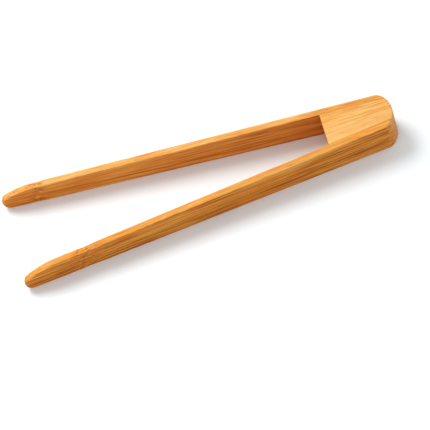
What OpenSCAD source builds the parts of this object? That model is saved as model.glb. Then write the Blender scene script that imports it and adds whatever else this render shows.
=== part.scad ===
// Bamboo kitchen tongs: two springy arms glued to a wedge block.
// The tongs lie on their side on z = 0, with the head towards +X, the tips
// towards -X and the left arm towards -Y. The origin is the middle of the base.

/* [Overall] */
// Length from the head's end face to the tips
overall_len = 240; // [160:5:320]
// Width across the outer faces at the head's end
head_w = 23; // [19:0.2:32]
// Width across the outer faces at the tips, at rest
tip_spread = 63; // [46:1:80]
// Height of the tongs at the head's end
head_depth = 24; // [18:0.5:34]
// Height of the arms at the tips
tip_depth = 16.5; // [12:0.5:18]

/* [Arms] */
// Thickness of an arm at the head's end
arm_root_t = 4.3; // [3:0.1:6]
// Thickness of an arm at its tip
arm_tip_t = 4.2; // [2.4:0.1:6]
// Radius of the round nose at an arm's tip, seen from the side
nose_r = 6; // [4:0.5:7]
// Radius of the long curve that brings an arm's top edge down to its nose
shoulder_r = 40; // [25:1:80]
// Distance from the wedge's mouth to the line that an arm bends about
flex_reach = 25; // [12:1:40]
// Radial gap between a blade's round root and the socket that it turns in
knuckle_gap = 0.05; // [0.02:0.01:0.1]

/* [Head] */
// Length of the wedge block along the tongs
wedge_len = 42.5; // [30:0.5:70]
// How far the middle of the head's rounded end stands out past its corners
end_bulge = 6; // [3:0.5:8]
// Thickness of a glue line
glue_t = 0.2; // [0.1:0.05:0.5]

/* [Hidden] */
$fn = 96;

bamboo_light = "#e8b468";
bamboo_warm = "#d99a48";
bamboo_blade = "#dda55a";
glue_brown = "#7a4a1c";

head_x = overall_len / 2;
tip_x = -overall_len / 2;
mouth_x = head_x - wedge_len;
flex_x = mouth_x - flex_reach;
past = 10;  // how far a cutting shape runs beyond what it cuts

// Share of the way from the head's end to the tips
function along(x) = (head_x - x) / overall_len;
function outer_y(x) = head_w / 2 + (tip_spread - head_w) / 2 * along(x);
function arm_t(x) = arm_root_t + (arm_tip_t - arm_root_t) * along(x);
function inner_y(x) = outer_y(x) - arm_t(x);
function mid_y(x) = (outer_y(x) + inner_y(x)) / 2;
function depth(x) = head_depth + (tip_depth - head_depth) * along(x);

// Points along an arc, from one angle to another
function arc(centre, radius, from, to, steps) = [
    for (i = [0:steps])
        let (angle = from + (to - from) * i / steps)
            centre + radius * [cos(angle), sin(angle)]
];

// An arm's middle line leans outwards by this angle towards the tip
lean = atan((mid_y(tip_x) - mid_y(head_x)) / overall_len);
tip_r = arm_tip_t / 2;
knuckle_r = arm_t(flex_x) / 2 * cos(lean);

// Side view of the whole tongs, swept across the width: a flat base, a sloping
// top, and tips whose top edge curves down to a round nose
module side_blank() {
    top_slope = atan((head_depth - tip_depth) / overall_len);
    nose = [tip_x + nose_r, nose_r];
    // From the nose's centre to the shoulder's: square to the top edge, and along it
    square_to = (depth(nose.x) - nose.y) * cos(top_slope) - shoulder_r;
    beside = sqrt(pow(shoulder_r - nose_r, 2) - square_to * square_to);
    shoulder = nose
        + beside * [cos(top_slope), sin(top_slope)]
        + square_to * [-sin(top_slope), cos(top_slope)];
    join = atan2(nose.y - shoulder.y, nose.x - shoulder.x);
    rotate([90, 0, 0])
        linear_extrude(tip_spread + 2 * past, center = true)
            polygon(concat(
                [[head_x, 0], [head_x, head_depth]],
                arc(shoulder, shoulder_r, 90 + top_slope, join, 10),
                arc(nose, nose_r, join, 270, 12)
            ));
}

// Plan of the right arm as one strip, from the head's end to its round tip
module arm_plan() {
    polygon(concat(
        [[head_x, inner_y(head_x)], [head_x, outer_y(head_x)]],
        arc([tip_x + tip_r, mid_y(tip_x + tip_r)], tip_r * cos(lean), 90 - lean, 270 - lean, 12)
    ));
}

// Everything on the tips' side of the right arm's flex line
module blade_side() {
    translate([flex_x, mid_y(flex_x)])
        rotate(-lean)
            translate([-overall_len, -tip_spread])
                square([overall_len, 2 * tip_spread]);
}

module knuckle(radius) {
    translate([flex_x, mid_y(flex_x)])
        circle(radius);
}

// What is cut away to leave the head's end round in plan
module end_waste() {
    corner_y = outer_y(head_x - end_bulge);
    end_r = (corner_y * corner_y + end_bulge * end_bulge) / (2 * end_bulge);
    translate([head_x - end_r, 0, -past])
        difference() {
            translate([0, -tip_spread / 2, 0])
                cube([end_r + past, tip_spread, head_depth + 2 * past]);
            translate([0, 0, -past])
                cylinder(h = head_depth + 4 * past, r = end_r);
        }
}

// Raises a plan to the height of the tongs, and shapes the head's end
module raise_plan() {
    difference() {
        intersection() {
            side_blank();
            translate([0, 0, -past])
                linear_extrude(head_depth + 2 * past)
                    children();
        }
        end_waste();
    }
}

module arm_root() {
    raise_plan()
        difference() {
            arm_plan();
            blade_side();
            knuckle(knuckle_r + knuckle_gap);
        }
}

module arm_blade() {
    raise_plan()
        union() {
            intersection() {
                arm_plan();
                blade_side();
            }
            knuckle(knuckle_r);
        }
}

// Half of the wedge block, from the middle glue line to the arm's glue line
module wedge_half() {
    raise_plan()
        polygon([
            [mouth_x, glue_t / 2],
            [head_x, glue_t / 2],
            [head_x, inner_y(head_x) - glue_t],
            [mouth_x, inner_y(mouth_x) - glue_t]
        ]);
}

module arm_glue_line() {
    raise_plan()
        polygon([
            [mouth_x, inner_y(mouth_x) - glue_t],
            [head_x, inner_y(head_x) - glue_t],
            [head_x, inner_y(head_x)],
            [mouth_x, inner_y(mouth_x)]
        ]);
}

module left_arm_root() {
    color(bamboo_blade)
        mirror([0, 1, 0])
            arm_root();
}

module left_arm_blade() {
    color(bamboo_blade)
        mirror([0, 1, 0])
            arm_blade();
}

module right_arm_root() {
    color(bamboo_blade)
        arm_root();
}

module right_arm_blade() {
    color(bamboo_blade)
        arm_blade();
}

module left_wedge() {
    color(bamboo_light)
        mirror([0, 1, 0])
            wedge_half();
}

module right_wedge() {
    color(bamboo_warm)
        wedge_half();
}

module left_glue_line() {
    color(glue_brown)
        mirror([0, 1, 0])
            arm_glue_line();
}

module right_glue_line() {
    color(glue_brown)
        arm_glue_line();
}

module middle_glue_line() {
    color(glue_brown)
        raise_plan()
            translate([mouth_x, -glue_t / 2])
                square([wedge_len, glue_t]);
}

left_arm_root();
left_arm_blade();
right_arm_root();
right_arm_blade();
left_wedge();
right_wedge();
left_glue_line();
right_glue_line();
middle_glue_line();
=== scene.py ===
import math

import bmesh
import bpy
from mathutils import Matrix, Vector


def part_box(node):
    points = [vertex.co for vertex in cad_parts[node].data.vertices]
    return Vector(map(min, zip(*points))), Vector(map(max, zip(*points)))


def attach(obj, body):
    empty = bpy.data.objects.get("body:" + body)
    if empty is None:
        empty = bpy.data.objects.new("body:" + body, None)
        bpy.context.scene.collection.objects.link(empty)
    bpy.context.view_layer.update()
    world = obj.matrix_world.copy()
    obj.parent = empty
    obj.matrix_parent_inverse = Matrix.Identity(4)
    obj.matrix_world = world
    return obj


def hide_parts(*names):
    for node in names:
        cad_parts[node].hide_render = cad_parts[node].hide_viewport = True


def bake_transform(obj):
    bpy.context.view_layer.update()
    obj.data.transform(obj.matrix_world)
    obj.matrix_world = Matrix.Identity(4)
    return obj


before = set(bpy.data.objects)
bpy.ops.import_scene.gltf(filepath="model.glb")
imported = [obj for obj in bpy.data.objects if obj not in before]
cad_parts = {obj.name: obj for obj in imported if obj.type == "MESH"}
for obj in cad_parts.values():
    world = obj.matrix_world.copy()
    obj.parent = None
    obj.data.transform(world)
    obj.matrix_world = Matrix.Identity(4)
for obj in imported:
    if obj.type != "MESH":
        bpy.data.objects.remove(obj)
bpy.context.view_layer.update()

quarterTurn = math.pi / 2
print("frame loaded:", len(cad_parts), "nodes")


# Node trees, written as expressions

class Signal:
    # one output socket; arithmetic on it adds Math nodes to its tree
    def __init__(self, flow, socket):
        self.flow = flow
        self.socket = socket

    def math(self, operation, *others):
        inputs = dict(enumerate((self,) + others))
        return self.flow.add("ShaderNodeMath", {"operation": operation}, inputs)

    def __add__(self, other):
        return self.math("ADD", other)

    def __sub__(self, other):
        return self.math("SUBTRACT", other)

    def __mul__(self, other):
        return self.math("MULTIPLY", other)

    def __truediv__(self, other):
        return self.math("DIVIDE", other)

    def __pow__(self, other):
        return self.math("POWER", other)

    def __radd__(self, other):
        return self + other

    def __rsub__(self, other):
        return self.flow.add("ShaderNodeMath", {"operation": "SUBTRACT"}, {0: other, 1: self})

    def __rmul__(self, other):
        return self * other

    def above(self, other):
        return self.math("GREATER_THAN", other)

    def clamped(self):
        return self.math("MAXIMUM", 0.0).math("MINIMUM", 1.0)

    def root(self):
        # square root, and 0 below 0
        return self.math("MAXIMUM", 0.0).math("SQRT")

    def sine(self):
        # of this share of a quarter turn
        return (self * quarterTurn).math("SINE")

    def cosine(self):
        return (self * quarterTurn).math("COSINE")

    def smooth(self, low, high):
        # 0 before low, 1 past high, and an S curve between them
        part = ((self - low) * (1 / (high - low))).clamped()
        return part * part * (3 - 2 * part)

    def between(self, low, high):
        # low where this is 0, high where it is 1
        return low + (high - low) * self


class Flow:
    # a node tree, and the one way that nodes are added to it
    def __init__(self, tree):
        self.tree = tree

    def add(self, kind, settings=None, inputs=None, output=0):
        node = self.tree.nodes.new(kind)
        for name, value in (settings or {}).items():
            if name == "stops":
                self.setStops(node.color_ramp, value)
            else:
                setattr(node, name, value)
        for key, value in (inputs or {}).items():
            if isinstance(value, Signal):
                self.tree.links.new(value.socket, node.inputs[key])
            else:
                node.inputs[key].default_value = value
        if output is None:
            return node
        return Signal(self, node.outputs[output])

    @staticmethod
    def setStops(ramp, stops):
        while len(ramp.elements) < len(stops):
            ramp.elements.new(1)
        for element, (place, colour) in zip(ramp.elements, stops):
            element.position = place
            element.color = colour

    def vector(self, x=0.0, y=0.0, z=0.0):
        return self.add("ShaderNodeCombineXYZ", None, {0: x, 1: y, 2: z})

    def split(self, vector):
        node = self.add("ShaderNodeSeparateXYZ", None, {0: vector}, None)
        return [Signal(self, socket) for socket in node.outputs]

    def noise(self, place, scale, detail=2.0, rough=0.5):
        inputs = {"Vector": place, "Scale": scale, "Detail": detail, "Roughness": rough}
        return self.add("ShaderNodeTexNoise", {"noise_dimensions": "3D"}, inputs)


# Sizes of the tongs, in metres, as the part's own design has them

tongs = {
    "headHalf": 0.0115,       # half the width over the outer faces at the head's end
    "tipHalf": 0.0315,        # the same at the tips
    "headDepth": 0.024,       # height at the head's end
    "tipDepth": 0.0165,       # height at the tips
    "rootThick": 0.0043,      # an arm's thickness at the head's end
    "tipThick": 0.0042,       # and at its tip
    "noseRadius": 0.006,
    "shoulderRadius": 0.040,  # of the long curve between an arm's top and its nose
    "endBulge": 0.006,        # how far the middle of the head's end stands past its corners
    "glueThick": 0.0002,
    "sanded": 0.00003,        # what finishing took off the arms' outer faces and noses
}

lowWedge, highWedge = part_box("right_wedge")
headX = highWedge.x
mouthX = lowWedge.x
tipX = -headX
reach = headX - tipX


def sizeAt(x, atHead, atTip):
    # a size that changes evenly from the head's end to the tips; x is a number or a Signal
    return atHead + (atTip - atHead) * (headX - x) / reach


def outerY(x):
    return sizeAt(x, tongs["headHalf"], tongs["tipHalf"])


def innerY(x):
    return outerY(x) - sizeAt(x, tongs["rootThick"], tongs["tipThick"])


def topZ(x):
    return sizeAt(x, tongs["headDepth"], tongs["tipDepth"])


def endRadius():
    # radius, in plan, of the round that the head's end is dressed to
    bulge = tongs["endBulge"]
    corner = outerY(headX - bulge)
    return (corner * corner + bulge * bulge) / (2 * bulge)


def tipCurve():
    # the long curve from an arm's top to its nose: its centre, and the x where it meets
    # the nose and the x where it leaves the top
    radius = tongs["shoulderRadius"]
    slope = math.atan((tongs["headDepth"] - tongs["tipDepth"]) / reach)
    nose = Vector((tipX + tongs["noseRadius"], tongs["noseRadius"]))
    drop = (topZ(nose.x) - nose.y) * math.cos(slope) - radius
    beside = math.sqrt((radius - tongs["noseRadius"]) ** 2 - drop ** 2)
    centre = nose + beside * Vector((math.cos(slope), math.sin(slope)))
    centre += drop * Vector((-math.sin(slope), math.cos(slope)))
    join = nose.x + (nose.x - centre.x) / (nose - centre).length * tongs["noseRadius"]
    touch = centre.x - radius * math.sin(slope)
    return centre, join, touch


# The strips: arms, wedge halves and glue lines

stripInputs = {
    "side": 1.0,             # 1 for the right arm's side, -1 for the left arm's
    "innerHead": 0.0,        # y of the inner face at the head's end,
    "innerGrowth": 0.0,      # and what it gains per metre towards the tips
    "outerHead": 0.0,        # the same for the outer face
    "outerGrowth": 0.0,
    "outerEase": 0.0006,     # radius that the outer face's long edges are eased to
    "freeEase": 0.0006,      # the same for the inner face, where it is free
    "seamEase": 0.00004,     # and where it is glued
    "outerEndEase": 0.0006,  # how far the outer face draws in at the head's end
    "faceEndEase": 0.0006,   # the same for the upper and lower faces
    "easeWander": 0.0,       # share that the eased edges vary by
    "relief": 0.0,           # depth of the hollows that sanding leaves
    "knotX": 0.0,            # where the culm had a joint,
    "knotWidth": 0.005,      # how far its marks run each way,
    "knotRough": 0.0,        # and how deep its pits are
    "seed": 0.0,
    "shortShare": 0.14,      # where a ring's points turn onto the eased edge,
    "arcShare": 0.38,        # and where they leave it, as shares of a quarter ring
}

handwork = {
    "noseSpacing": 0.72,      # spacing of an arm's rings by the nose, as a share of the average
    "roundFrom": 0.034,       # distances from the head's end where its round starts
    "roundTo": 0.0005,        # and is complete
    "freeFrom": 0.010,        # distances past the mouth where an arm's inner edges are eased
    "freeTo": 0.0008,         # in full, and where they start
    "noseEaseReach": 0.020,   # how far from the tip the nose's extra easing runs
    "fullestEase": 0.92,      # an eased edge takes up to this share of half a face
    "wanderScale": 70.0,      # noise scales, per metre
    "topHollowScale": 60.0,
    "sideHollowScale": 85.0,
    "topPitScale": 330.0,
    "sidePitScale": 300.0,
    "mergeWithin": 2e-6,
}


class StripTree:
    # a Geometry Nodes tree that builds one strip as rings of points, up to the head's end
    def __init__(self, name, nosed, rings):
        self.tree = bpy.data.node_groups.new(name, "GeometryNodeTree")
        self.flow = Flow(self.tree)
        self.tree.interface.new_socket("Geometry", in_out="OUTPUT", socket_type="NodeSocketGeometry")
        self.source = self.tree.nodes.new("NodeGroupInput")
        self.nosed = nosed
        self.rings = rings
        self.addInputs()
        self.build()

    def addInputs(self):
        self.sizes = {}
        for name, value in stripInputs.items():
            socket = self.tree.interface.new_socket(name, in_out="INPUT", socket_type="NodeSocketFloat")
            socket.default_value = value
            self.sizes[name] = Signal(self.flow, self.source.outputs[name])
        self.tree.interface.new_socket("finish", in_out="INPUT", socket_type="NodeSocketMaterial")
        self.finish = Signal(self.flow, self.source.outputs["finish"])

    def build(self):
        flow = self.flow
        columns = self.rings["around"] + 1
        names = ["startCap", "startEase", "body", "endEase", "endCap"]
        total = sum(self.rings[name] for name in names)
        grid = flow.add("GeometryNodeMeshGrid", None, {"Vertices X": total + 1, "Vertices Y": columns})
        index = flow.add("GeometryNodeInputIndex")
        ring = (index * (1 / columns) + 0.5 / columns).math("FLOOR")
        self.readRing(ring, names)
        self.readTurn(index - ring * columns)
        x = self.roundedX(self.stationX())
        y, z = self.placeAt(x)
        position = flow.vector(x, y * self.sizes["side"], z)
        mesh = flow.add("GeometryNodeSetPosition", None, {"Geometry": grid, "Position": position})
        mesh = self.store(mesh, "grainPlace", flow.vector(x, y - self.middle(x), z))
        mesh = self.store(mesh, "marks", flow.vector(self.arc, self.endMark(), self.knotMark(x)))
        merging = {"Geometry": mesh, "Distance": handwork["mergeWithin"]}
        mesh = flow.add("GeometryNodeMergeByDistance", None, merging)
        mesh = flow.add("GeometryNodeSetShadeSmooth", None, {"Geometry": mesh})
        mesh = flow.add("GeometryNodeRealizeInstances", None, {"Geometry": mesh})
        mesh = flow.add("GeometryNodeSetMaterial", None, {"Geometry": mesh, "Material": self.finish})
        flow.add("NodeGroupOutput", None, {0: mesh}, None)

    def store(self, mesh, name, value):
        settings = {"data_type": "FLOAT_VECTOR", "domain": "POINT"}
        inputs = {"Geometry": mesh, "Name": name, "Value": value}
        return self.flow.add("GeometryNodeStoreNamedAttribute", settings, inputs)

    def readRing(self, ring, names):
        # how far a ring has come through each stretch of the strip, from 0 to 1
        self.part = {}
        first = 0
        for name in names:
            count = self.rings[name]
            if count:
                self.part[name] = ((ring - first) * (1 / count)).clamped()
            first += count
        self.endShrink = 1 - self.part["endEase"].cosine()
        self.cap = 1 - self.part["endCap"]
        if "startCap" in self.part:
            self.cap = self.cap * self.part["startCap"]

    def readTurn(self, column):
        # where a point stands round its ring: top middle, outer side, foot, inner side
        short = self.sizes["shortShare"]
        arc = self.sizes["arcShare"]
        turn = column * (4 / self.rings["around"])
        quarter = turn.math("FLOOR").math("MINIMUM", 3.0)
        odd = (quarter * 0.5).math("FRACT") * 2
        along = turn - quarter
        along = odd.between(along, 1 - along)
        self.outward = 1 - 2 * quarter.above(1.5)
        self.isOuter = self.outward * 0.5 + 0.5
        self.upward = 2 * (quarter - 1.5).math("ABSOLUTE").above(1.0) - 1
        self.short = (along / short).clamped()
        self.arc = ((along - short) / (arc - short)).clamped()
        self.long = ((along - arc) / (1 - arc)).clamped()
        self.arcUp = self.arc.cosine()
        self.arcOut = self.arc.sine()
        self.hollowShare = self.long.smooth(0.0, 0.25)
        self.pitShare = self.long.smooth(-0.2, 0.3)

    def stationX(self):
        # where a ring stands, before the head's end is rounded
        ease = self.rings["endEaseSize"]
        body = self.part["body"]
        if self.nosed:
            start = tipX + tongs["sanded"] + tongs["tipThick"] / 2
            spread = body * (handwork["noseSpacing"] + (1 - handwork["noseSpacing"]) * body)
            x = start - self.part["startEase"].cosine() * (tongs["tipThick"] / 2)
        else:
            start = mouthX + self.rings["startEaseSize"]
            spread = body
            x = start - (1 - self.part["startEase"]) * self.rings["startEaseSize"]
        x = x + spread * (headX - ease - start)
        return x + self.part["endEase"].sine() * ease

    def roundedX(self, station):
        # each point's x: the nearer the head's end, the more its ring follows the end's round
        follow = station.smooth(headX - handwork["roundFrom"], headX - handwork["roundTo"])
        x = station
        for _ in range(3):  # x and y depend on each other, and three passes settle them
            y, z = self.placeAt(x)
            x = station + (self.endX(y) - headX) * follow
        return x

    def endX(self, y):
        radius = endRadius()
        return (radius ** 2 - y * y).root() + headX - radius

    def faces(self, x):
        # y of the inner and the outer face
        back = headX - x
        inner = self.sizes["innerHead"] + self.sizes["innerGrowth"] * back
        outer = self.sizes["outerHead"] + self.sizes["outerGrowth"] * back
        return inner, outer

    def middle(self, x):
        inner, outer = self.faces(x)
        return (inner + outer) * 0.5

    def knotMark(self, x):
        distance = (x - self.sizes["knotX"]).math("ABSOLUTE")
        return 1 - (distance / self.sizes["knotWidth"]).smooth(0.0, 1.0)

    def endMark(self):
        mark = self.part["endEase"].smooth(0.35, 1.0)
        if not self.nosed:
            mark = mark + 1 - self.part["startEase"].smooth(0.0, 0.65)
        return mark

    def profile(self, x):
        # lowest and highest z at x, from the side outline
        line = topZ(x)
        if not self.nosed:
            return 0.0, line
        nose = tongs["noseRadius"]
        noseX = tipX + nose
        centre, join, touch = tipCurve()
        beside = x - noseX
        arch = (nose ** 2 - beside * beside).root()
        beside = x - centre.x
        curve = (tongs["shoulderRadius"] ** 2 - beside * beside).root() + centre.y
        high = (touch - x).above(0.0).between(line, curve)
        high = (join - x).above(0.0).between(high, nose + arch)
        low = (noseX - x).above(0.0) * (nose - arch)
        return low, high

    def heights(self, x, knot):
        # lowest and highest z at x once the strip is worked; what is added to the seed here
        # and below only keeps the patterns apart
        flow = self.flow
        sizes = self.sizes
        low, high = self.profile(x)
        shrink = self.endShrink * sizes["faceEndEase"]
        hollow = flow.noise(flow.vector(x, sizes["seed"] + 5, 0.0), handwork["topHollowScale"], 1.0)
        hollow = sizes["relief"] * (0.25 + 0.75 * hollow) * (1 - knot)
        place = flow.vector(x, sizes["seed"] + 9, self.outward * 0.01)
        pits = flow.noise(place, handwork["topPitScale"]) * knot * sizes["knotRough"]
        high = high - hollow - pits - shrink
        low = low + shrink
        if not self.nosed:
            trim = (1 - self.part["startEase"]) ** 2 * self.rings["startEaseSize"]
            high = high - trim
            low = low + trim
        return low, high

    def easeAt(self, x, across, tall, free):
        # radius of the eased edge, which is no larger than its two faces allow
        flow = self.flow
        sizes = self.sizes
        inside = free.between(sizes["seamEase"], sizes["freeEase"])
        ease = self.isOuter.between(inside, sizes["outerEase"])
        place = flow.vector(x, sizes["seed"], self.outward * 3 + self.upward)
        wander = flow.noise(place, handwork["wanderScale"])
        ease = ease * (1 + sizes["easeWander"] * (wander - 0.5) * 2)
        if self.nosed:
            nearTip = 1 - (x - tipX).smooth(0.0, handwork["noseEaseReach"])
            ease = ease + nearTip * self.rings["noseEaseMore"]
        most = handwork["fullestEase"]
        return ease.math("MINIMUM", across * most).math("MINIMUM", tall * most)

    def sunk(self, x, z, knot, free):
        # how far the inner and outer faces lie below flat: hollows, and pits at the knot
        flow = self.flow
        sizes = self.sizes
        place = flow.vector(x, z * 1.6, sizes["seed"] + self.outward * 2)
        hollow = flow.noise(place, handwork["sideHollowScale"])
        hollow = sizes["relief"] * (0.2 + 0.8 * hollow) * (1 - knot) * free
        place = flow.vector(x, z * 1.4, sizes["seed"] + self.outward * 3)
        pits = flow.noise(place, handwork["sidePitScale"]) * knot * sizes["knotRough"]
        return hollow * self.hollowShare + pits * self.pitShare

    def placeAt(self, x):
        # y on the right arm's side, and z, of this ring point when its ring stands at x
        knot = self.knotMark(x)
        free = 1 - x.smooth(mouthX - handwork["freeFrom"], mouthX - handwork["freeTo"])
        inner, outer = self.faces(x)
        outer = outer - self.endShrink * self.sizes["outerEndEase"]
        low, high = self.heights(x, knot)
        tall = (high - low) * 0.5
        across = (outer - inner) * 0.5
        if self.nosed:
            across = across * self.part["startEase"].sine()
        ease = self.easeAt(x, across, tall, free)
        up = (tall - ease) * (1 - self.long) + ease * self.arcUp
        wide = (across - ease) * self.short + ease * self.arcOut
        z = (low + high) * 0.5 + up * self.upward * self.cap
        y = (inner + outer) * 0.5 + (wide * self.cap - self.sunk(x, z, knot, free)) * self.outward
        return y, z

    def make(self, name, sizes, finish):
        # the strip as a plain mesh, where it stands on the tongs
        body = bpy.data.objects.new(name, bpy.data.meshes.new(name))
        bpy.context.scene.collection.objects.link(body)
        modifier = body.modifiers.new("strip", "NODES")
        modifier.node_group = self.tree
        values = dict(sizes, finish=finish)
        for item in self.tree.interface.items_tree:
            if item.in_out == "INPUT" and item.name in values:
                modifier[item.identifier] = values[item.name]
        bpy.context.view_layer.update()
        evaluated = body.evaluated_get(bpy.context.evaluated_depsgraph_get())
        mesh = bpy.data.meshes.new_from_object(evaluated)
        body.modifiers.remove(modifier)
        body.data = mesh
        mesh.name = name
        shape = bmesh.new()
        shape.from_mesh(mesh)
        bmesh.ops.recalc_face_normals(shape, faces=shape.faces)
        shape.to_mesh(mesh)
        shape.free()
        print("made", name, len(mesh.polygons), "faces")
        return body


def faceSizes(side, inner, outer):
    # the sizes of a strip between two faces, each given as a function of x
    def growth(face):
        return (face(tipX) - face(headX)) / reach

    return {
        "side": side,
        "innerHead": inner(headX),
        "innerGrowth": growth(inner),
        "outerHead": outer(headX),
        "outerGrowth": growth(outer),
    }


# Finishes

fibres = {  # each pattern's share of the scale along the strip, scale per metre, detail, roughness
    "fine": (0.012, 2300.0, 3.0, 0.7),
    "lines": (0.020, 1050.0, 2.0, 0.7),
    "bands": (0.030, 300.0, 2.0, 0.55),
    "patches": (0.22, 80.0, 2.0, 0.55),
    "streakLines": (0.035, 1100.0, 1.0, 0.55),
    "streakParts": (0.3, 110.0, 1.0, 0.55),
    "hairs": (0.014, 1900.0, 1.0, 0.55),
    "pores": (0.05, 3600.0, 1.0, 0.55),
    "glow": (0.17, 400.0, 1.0, 0.55),
    "knotGold": (0.35, 260.0, 1.0, 0.5),
    "ripple": (0.25, 900.0, 2.0, 0.55),
    "mottle": (0.3, 620.0, 3.0, 0.6),
    "edgeHighlight": (1.0, 160.0, 3.0, 0.6),
}

grainForm = {
    "seedStep": 3.7,        # metres of bamboo passed over for a seed that is larger by 1
    "driftScale": 22.0,     # noise scales, per metre
    "swirlScale": 190.0,
    "drift": 0.0016,        # how far the fibres wander, in metres
    "bundleStretch": 0.012,
    "bundleScale": 1350.0,  # the dark fibre bundles
    "bumpDepth": 0.00015,
}


def newFinish(name):
    material = bpy.data.materials.new(name)
    material.use_nodes = True
    material.node_tree.nodes.clear()
    return material, Flow(material.node_tree)


def sRgb(red, green, blue):
    def linear(value):
        share = value / 255
        return share / 12.92 if share <= 0.04045 else ((share + 0.055) / 1.055) ** 2.4

    return (linear(red), linear(green), linear(blue), 1.0)


def blendColour(flow, share, first, second):
    settings = {"data_type": "RGBA", "blend_type": "MIX", "clamp_factor": True}
    return flow.add("ShaderNodeMix", settings, {0: share, 6: first, 7: second}, 2)


class Grain:
    # where a point lies in its strip, and the fibre patterns found there, on bamboo
    def __init__(self, flow, look):
        self.flow = flow
        place = flow.add("ShaderNodeAttribute", {"attribute_name": "grainPlace"}, None, 1)
        marks = flow.add("ShaderNodeAttribute", {"attribute_name": "marks"}, None, 1)
        turn, endFace, self.knot = flow.split(marks)  # turn: 0 on the top and foot, 1 on a side
        self.edge = turn * (1 - turn) * 4
        self.side = turn.smooth(0.25, 0.95)
        self.endFace = endFace.clamped()
        self.setPlace(place, look)
        self.fine = self.fibre("fine")
        self.lines = self.fibre("lines")
        self.pores = self.fibre("pores").smooth(0.63, 0.72)
        self.ripple = self.fibre("ripple").smooth(0.50, 0.62) * self.knot
        # painted highlight: patches of lighter colour along the eased edges
        self.edgeHighlightMask = self.fibre("edgeHighlight").smooth(0.35, 0.7) * self.edge
        self.bundle = self.findBundles()

    def setPlace(self, place, look):
        # fibres wander a little everywhere, and swirl where the culm had a joint
        flow = self.flow
        x, across, up = flow.split(place)
        self.along = x + look["seed"] * grainForm["seedStep"]
        driftPlace = flow.vector(self.along, across * 0.4, up * 0.4 + look["seed"])
        swirlPlace = flow.vector(self.along, across * 1.5, up * 1.5 + look["seed"])
        drift = flow.noise(driftPlace, grainForm["driftScale"], 1.0) - 0.5
        self.swirl = (flow.noise(swirlPlace, grainForm["swirlScale"], 2.0, 0.6) - 0.5) * self.knot
        stray = drift * grainForm["drift"] + self.swirl * look["swirl"]
        self.across = across + stray * 0.6 + look["seed"]
        self.up = up + stray

    def stretched(self, stretch):
        return self.flow.vector(self.along * stretch, self.across, self.up)

    def fibre(self, pattern):
        stretch, scale, detail, rough = fibres[pattern]
        return self.flow.noise(self.stretched(stretch), scale, detail, rough)

    def findBundles(self):
        cells = {"voronoi_dimensions": "3D", "feature": "F1"}
        inputs = {
            "Vector": self.stretched(grainForm["bundleStretch"]),
            "Scale": grainForm["bundleScale"],
            "Randomness": 0.85,
        }
        return 1 - self.flow.add("ShaderNodeTexVoronoi", cells, inputs).smooth(0.18, 0.46)


def fibreColourAndSideShade(grain, look):
    # the fibres' colour with painted shade: darker on the sides than on the top and foot, as faces in
    # shade
    flow = grain.flow
    lines = grain.side.between(look["lines"], look["sideLines"])
    tone = 0.5 + (grain.fine - 0.5) * look["fine"] + (grain.lines - 0.5) * lines
    tone = tone + (grain.fibre("bands") - 0.5) * look["bands"]
    tone = tone + (grain.fibre("patches") - 0.5) * look["patches"]
    tone = tone - grain.bundle * look["bundles"]
    top = flow.add("ShaderNodeValToRGB", {"stops": look["topStops"]}, {"Fac": tone})
    # painted shade: darker colour stops for the side faces
    shadedFlank = flow.add("ShaderNodeValToRGB", {"stops": look["shadedSideStops"]}, {"Fac": tone})
    return blendColour(flow, grain.side, top, shadedFlank)


def addStreaks(grain, look, base):
    # orange streaks where the steamed sugars show, dark hairlines, pores and golden patches
    flow = grain.flow
    streak = grain.fibre("streakLines").smooth(0.56, 0.66) * grain.fibre("streakParts").smooth(0.40, 0.60)
    hair = grain.fibre("hairs").smooth(0.60, 0.70)
    glow = grain.fibre("glow").smooth(0.53, 0.66) * (1 - grain.side * 0.8)
    base = blendColour(flow, streak * look["streaks"], base, look["streakColour"])
    base = blendColour(flow, hair * look["hairs"], base, look["hairColour"])
    base = blendColour(flow, grain.pores * look["pores"], base, look["poreColour"])
    return blendColour(flow, glow * look["glow"], base, look["goldColour"])


def addKnot(grain, look, base):
    # round a joint of the culm: golden patches between dark swirling fibres
    flow = grain.flow
    gold = grain.fibre("knotGold").smooth(0.42, 0.58) * grain.knot
    base = blendColour(flow, gold * grain.side.between(0.85, 0.35), base, look["goldColour"])
    return blendColour(flow, grain.ripple * 0.85, base, look["hairColour"])


def addEnds(grain, look, base):
    # sawn ends: cut bundles in a duller ground
    flow = grain.flow
    ground = flow.add("ShaderNodeValToRGB", {"stops": look["endStops"]}, {"Fac": grain.fibre("mottle")})
    dotted = blendColour(flow, grain.bundle * 0.5, ground, look["endDot"])
    return blendColour(flow, grain.endFace * 0.85, base, dotted)


def bambooFinish(name, look):
    material, flow = newFinish(name)
    grain = Grain(flow, look)
    base = fibreColourAndSideShade(grain, look)
    base = addStreaks(grain, look, base)
    base = addKnot(grain, look, base)
    base = addEnds(grain, look, base)
    base = blendColour(flow, grain.edgeHighlightMask * look["edgeHighlight"], base, look["edgeHighlightColour"])  # painted highlight along the eased edges
    rough = 0.56 + (grain.lines - 0.5) * 0.25 + grain.endFace * 0.15
    rough = rough - grain.edgeHighlightMask * 0.06 + grain.pores * 0.12
    height = grain.lines * 0.6 + grain.fine * 0.4 - grain.bundle * 0.4 - grain.pores * 0.5
    height = height + grain.ripple * 0.5 + grain.swirl * 2
    bump = flow.add("ShaderNodeBump", None, {
        "Strength": look["bump"],
        "Distance": grainForm["bumpDepth"],
        "Height": height,
    })
    shader = flow.add("ShaderNodeBsdfPrincipled", None, {
        "Base Color": base,
        "Roughness": rough.clamped(),
        "Normal": bump,
        "IOR": 1.45,
        "Specular IOR Level": 0.18,
    })
    flow.add("ShaderNodeOutputMaterial", None, {"Surface": shader}, None)
    return material


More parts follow.
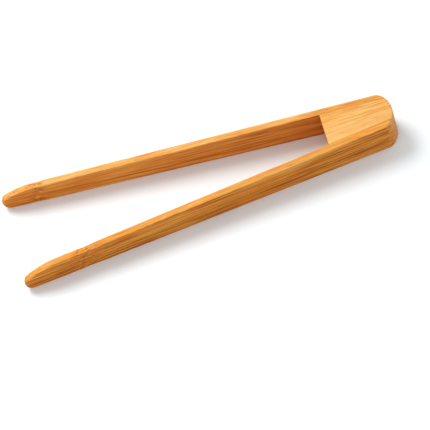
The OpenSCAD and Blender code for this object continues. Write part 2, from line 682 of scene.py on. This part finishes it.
bambooLook = {
    "seed": 0.0,
    "fine": 0.5,        # contrast of each pattern
    "lines": 0.65,
    "sideLines": 1.3,
    "bands": 0.45,
    "patches": 0.45,
    "bundles": 0.10,
    "streaks": 0.75,    # strength of each mark
    "hairs": 0.35,
    "pores": 0.3,
    "glow": 0.3,
    "edgeHighlight": 0.35,
    "bump": 0.5,
    "swirl": 0.009,     # how far the fibres turn aside round a joint of the culm, in metres
    "topStops": [
        (0.22, sRgb(192, 114, 32)), (0.40, sRgb(212, 148, 68)),
        (0.56, sRgb(221, 167, 90)), (0.78, sRgb(230, 187, 118)),
    ],
    # painted shade: darker copies of the top's colours for the side faces
    "shadedSideStops": [
        (0.22, sRgb(146, 64, 0)), (0.40, sRgb(186, 104, 12)),
        (0.55, sRgb(207, 137, 44)), (0.74, sRgb(224, 166, 80)),
    ],
    "endStops": [
        (0.3, sRgb(176, 104, 44)), (0.5, sRgb(204, 138, 72)), (0.7, sRgb(222, 164, 100)),
    ],
    "streakColour": sRgb(214, 116, 22),
    "hairColour": sRgb(158, 76, 12),
    "poreColour": sRgb(142, 74, 16),
    "goldColour": sRgb(232, 140, 26),
    # painted highlight colour for the eased edges
    "edgeHighlightColour": sRgb(250, 206, 138),
    "endDot": sRgb(150, 84, 34),
}

leftArmBamboo = bambooFinish("leftArmBamboo", dict(
    bambooLook, seed=0.11, streaks=0.9, lines=0.8, glow=0.8, bands=0.35,
    topStops=[
        (0.22, sRgb(186, 104, 22)), (0.40, sRgb(208, 136, 50)),
        (0.56, sRgb(220, 156, 70)), (0.78, sRgb(230, 180, 102)),
    ],
))
rightArmBamboo = bambooFinish("rightArmBamboo", dict(
    bambooLook, seed=0.37,
    # painted shade on the right arm's sides, a little lighter than the left arm's
    shadedSideStops=[
        (0.22, sRgb(164, 78, 4)), (0.40, sRgb(200, 114, 22)),
        (0.55, sRgb(216, 142, 50)), (0.74, sRgb(230, 168, 80)),
    ],
))
paleBamboo = bambooFinish("paleBamboo", dict(
    bambooLook, seed=0.53, lines=0.35, fine=0.25, streaks=0.3, hairs=0.15, bands=0.3,
    patches=0.3, glow=0.1,
    topStops=[(0.25, sRgb(212, 152, 74)), (0.5, sRgb(223, 172, 100)), (0.75, sRgb(231, 190, 124))],
))
warmBamboo = bambooFinish("warmBamboo", dict(bambooLook, seed=0.71, patches=0.6))

glueLook = {
    "stops": [
        (0.3, sRgb(176, 98, 30)), (0.5, sRgb(206, 132, 56)), (0.7, sRgb(224, 158, 82)),
    ],
    "cloudScale": 420.0,
    "bumpScale": 1600.0,
    "bumpDepth": 0.0001,
}


def glueFinish(name, look):
    material, flow = newFinish(name)
    place = flow.add("ShaderNodeTexCoord", None, None, "Object")
    cloud = flow.noise(place, look["cloudScale"], 3.0, 0.6)
    base = flow.add("ShaderNodeValToRGB", {"stops": look["stops"]}, {"Fac": cloud})
    bump = flow.add("ShaderNodeBump", None, {
        "Strength": 0.3,
        "Distance": look["bumpDepth"],
        "Height": flow.noise(place, look["bumpScale"]),
    })
    shader = flow.add("ShaderNodeBsdfPrincipled", None, {
        "Base Color": base,
        "Roughness": 0.28 + cloud * 0.2,
        "Normal": bump,
        "IOR": 1.5,
    })
    flow.add("ShaderNodeOutputMaterial", None, {"Surface": shader}, None)
    return material


glueBrown = glueFinish("glueBrown", glueLook)
print("finishes ready")


# Arms: one strip each

armRings = {  # how many rings each stretch of a strip has, and points round a ring
    "startCap": 0,
    "startEase": 12,
    "body": 300,
    "endEase": 10,
    "endCap": 8,
    "around": 112,
    "endEaseSize": 0.0016,   # length of the eased stretch at the head's end
    "noseEaseMore": 0.0005,  # extra easing of the edges at the nose
}
armLook = {
    "outerEase": 0.0006,
    "freeEase": 0.0005,
    "easeWander": 0.3,
    "relief": 0.00008,
    "knotRough": 0.0009,
    "outerEndEase": 0.0024,
}
armTree = StripTree("armStrip", True, armRings)


def makeArm(name, side, nodes, finish, knot):
    def outer(x):
        return outerY(x) - tongs["sanded"]

    piece = armTree.make(name, dict(faceSizes(side, innerY, outer), **armLook, **knot), finish)
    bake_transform(piece)
    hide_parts(*nodes)


leftKnot = {"knotX": -0.080, "knotWidth": 0.013, "seed": 2.0}
rightKnot = {"knotX": -0.098, "knotWidth": 0.008, "seed": 7.0}
makeArm("leftArm", -1.0, ["left_arm_root", "left_arm_blade"], leftArmBamboo, leftKnot)
makeArm("rightArm", 1.0, ["right_arm_root", "right_arm_blade"], rightArmBamboo, rightKnot)


# Wedge block: two halves, glued along the middle

wedgeRings = {
    "startCap": 8,
    "startEase": 4,
    "body": 64,
    "endEase": 10,
    "endCap": 8,
    "around": 112,
    "endEaseSize": 0.0016,
    "startEaseSize": 0.0003,
}
wedgeLook = {
    "outerEase": 0.00004,
    "freeEase": 0.00004,
    "outerEndEase": 0.0,
    "shortShare": 0.34,
    "arcShare": 0.44,
}
wedgeTree = StripTree("wedgeStrip", False, wedgeRings)


def makeWedge(name, side, node, finish, seed):
    def inner(x):
        return tongs["glueThick"] / 2

    def outer(x):
        return innerY(x) - tongs["glueThick"]

    piece = wedgeTree.make(name, dict(faceSizes(side, inner, outer), **wedgeLook, seed=seed), finish)
    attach(piece, "head")
    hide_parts(node)


makeWedge("leftWedge", -1.0, "left_wedge", paleBamboo, 3.0)
makeWedge("rightWedge", 1.0, "right_wedge", warmBamboo, 4.0)


# Glue lines: thin layers that show as brown lines on the head

glueRings = {
    "startCap": 1,
    "startEase": 2,
    "body": 48,
    "endEase": 10,
    "endCap": 2,
    "around": 48,
    "endEaseSize": 0.0016,
    "startEaseSize": 0.0003,
}
glueForm = {
    "outerEase": 0.00002,
    "freeEase": 0.00002,
    "seamEase": 0.00002,
    "outerEndEase": 0.0,
    "shortShare": 0.1,
    "arcShare": 0.2,
}
glueTree = StripTree("glueStrip", False, glueRings)


def makeGlue(name, side, node, inner, outer):
    piece = glueTree.make(name, dict(faceSizes(side, inner, outer), **glueForm), glueBrown)
    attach(piece, "head")
    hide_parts(node)


def wedgeSideY(x):
    return innerY(x) - tongs["glueThick"]


def middleLeftY(x):
    return -tongs["glueThick"] / 2


def middleRightY(x):
    return tongs["glueThick"] / 2


makeGlue("leftGlue", -1.0, "left_glue_line", wedgeSideY, innerY)
makeGlue("rightGlue", 1.0, "right_glue_line", wedgeSideY, innerY)
makeGlue("middleGlue", 1.0, "middle_glue_line", middleLeftY, middleRightY)


# Floor, camera and light

stage = {
    "floorHalf": 3.0,
    "floorColour": (0.85, 0.90, 0.93, 1.0),
    "skyStrength": 0.78,
    "lampPlace": (-0.30, 0.48, 0.82),  # high up, past the right arm and the tips
    "lampSize": 0.55,
    "lampWatts": 7.5,
    "lampColour": (1.0, 0.99, 0.97),
}

view = {
    "place": (0.04174, -1.5451, 2.56879),
    "azimuth": -1.558,    # in degrees, from +Y towards +X
    "elevation": 59.297,  # how steeply the camera looks down
    "roll": 18.797,
    "lens": 418.6,
    "sensor": 36.0,
}


def makeFloor():
    mesh = bpy.data.meshes.new("floor")
    half = stage["floorHalf"]
    corners = [(-half, -half, 0), (half, -half, 0), (half, half, 0), (-half, half, 0)]
    mesh.from_pydata(corners, [], [(0, 1, 2, 3)])
    floor = bpy.data.objects.new("floor", mesh)
    bpy.context.scene.collection.objects.link(floor)
    material, flow = newFinish("floorWhite")
    inputs = {"Base Color": stage["floorColour"], "Roughness": 0.9}
    shader = flow.add("ShaderNodeBsdfPrincipled", None, inputs)
    flow.add("ShaderNodeOutputMaterial", None, {"Surface": shader}, None)
    mesh.materials.append(material)


def makeCamera():
    azimuth = math.radians(view["azimuth"])
    elevation = math.radians(view["elevation"])
    roll = math.radians(view["roll"])
    level = Vector((math.sin(azimuth), math.cos(azimuth), 0))
    forward = math.cos(elevation) * level - Vector((0, 0, math.sin(elevation)))
    right = Vector((math.cos(azimuth), -math.sin(azimuth), 0))
    down = forward.cross(right)
    across = math.cos(roll) * right + math.sin(roll) * down
    up = math.sin(roll) * right - math.cos(roll) * down
    data = bpy.data.cameras.new("camera")
    data.sensor_width = view["sensor"]
    data.lens = view["lens"]
    camera = bpy.data.objects.new("camera", data)
    turn = Matrix((across, up, -forward)).transposed().to_4x4()
    camera.matrix_world = Matrix.Translation(view["place"]) @ turn
    bpy.context.scene.collection.objects.link(camera)
    bpy.context.scene.camera = camera


def makeLight():
    world = bpy.data.worlds.new("studio")
    bpy.context.scene.world = world
    world.use_nodes = True
    background = world.node_tree.nodes["Background"]
    background.inputs["Color"].default_value = (1, 1, 1, 1)
    background.inputs["Strength"].default_value = stage["skyStrength"]
    data = bpy.data.lights.new("keyLight", "AREA")
    data.shape = "DISK"
    data.size = stage["lampSize"]
    data.energy = stage["lampWatts"]
    data.color = stage["lampColour"]
    lamp = bpy.data.objects.new("keyLight", data)
    place = Vector(stage["lampPlace"])
    turn = (-place).to_track_quat("-Z", "Y").to_matrix().to_4x4()
    lamp.matrix_world = Matrix.Translation(place) @ turn
    bpy.context.scene.collection.objects.link(lamp)


makeFloor()
makeCamera()
makeLight()
bpy.context.scene.view_settings.view_transform = "Standard"
print("stage ready")
